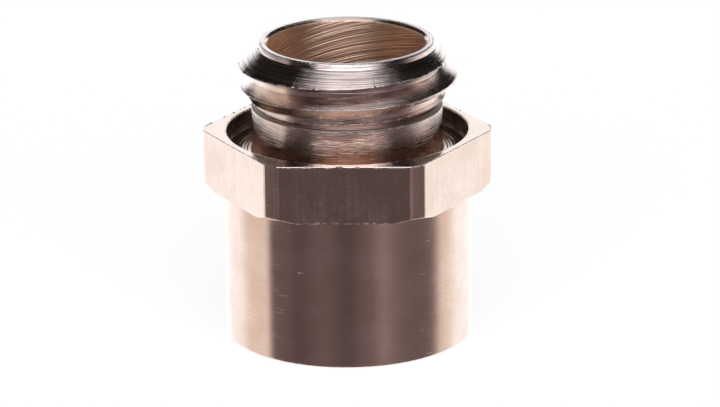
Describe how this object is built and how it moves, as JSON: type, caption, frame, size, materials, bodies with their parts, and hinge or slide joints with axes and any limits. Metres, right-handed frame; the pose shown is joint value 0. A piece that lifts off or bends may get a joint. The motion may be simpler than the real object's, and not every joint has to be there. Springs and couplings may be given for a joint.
{
  "type": "cable gland",
  "caption": "Small metal cable gland: threaded entry neck, hexagon collar and plain sleeve holding a seal that a hollow slotted screw squeezes round the cable.",
  "frame": {"origin": "centre of the sleeve's mouth, on the gland's axis, in the plane the part stands on", "axes": "+Z along the axis from the sleeve's mouth to the threaded end; a collar flat faces -Y and two collar corners lie on +X and -X"},
  "size_m": [0.0156, 0.014, 0.0165],
  "materials": {
    "nickel": "nickel-plated, fine turned",
    "washer_steel": "zinc-plated, satin",
    "seal_rubber": "matt"
  },
  "bodies": {
    "gland_body": {"gland_body": "nickel", "front_washer": "washer_steel", "sealing_ring": "seal_rubber"},
    "thrust_washer": {"thrust_washer": "washer_steel"},
    "pressure_screw": {"pressure_screw": "nickel"}
  },
  "joints": [
    {"name": "screw_travel", "type": "slide", "parent": "gland_body", "child": "thrust_washer", "axis": [0, 0, 1], "range_m": [0, 0.0012], "deforming": ["sealing_ring"]},
    {"name": "screw_turn", "type": "hinge", "parent": "thrust_washer", "child": "pressure_screw", "pos_m": [0, 0, 0.0018], "axis": [0, 0, 1], "range_deg": [0, 432]}
  ],
  "couplings": [
    {"joint": "screw_turn", "follows": "screw_travel", "rad_per_m": 6283.2}
  ]
}
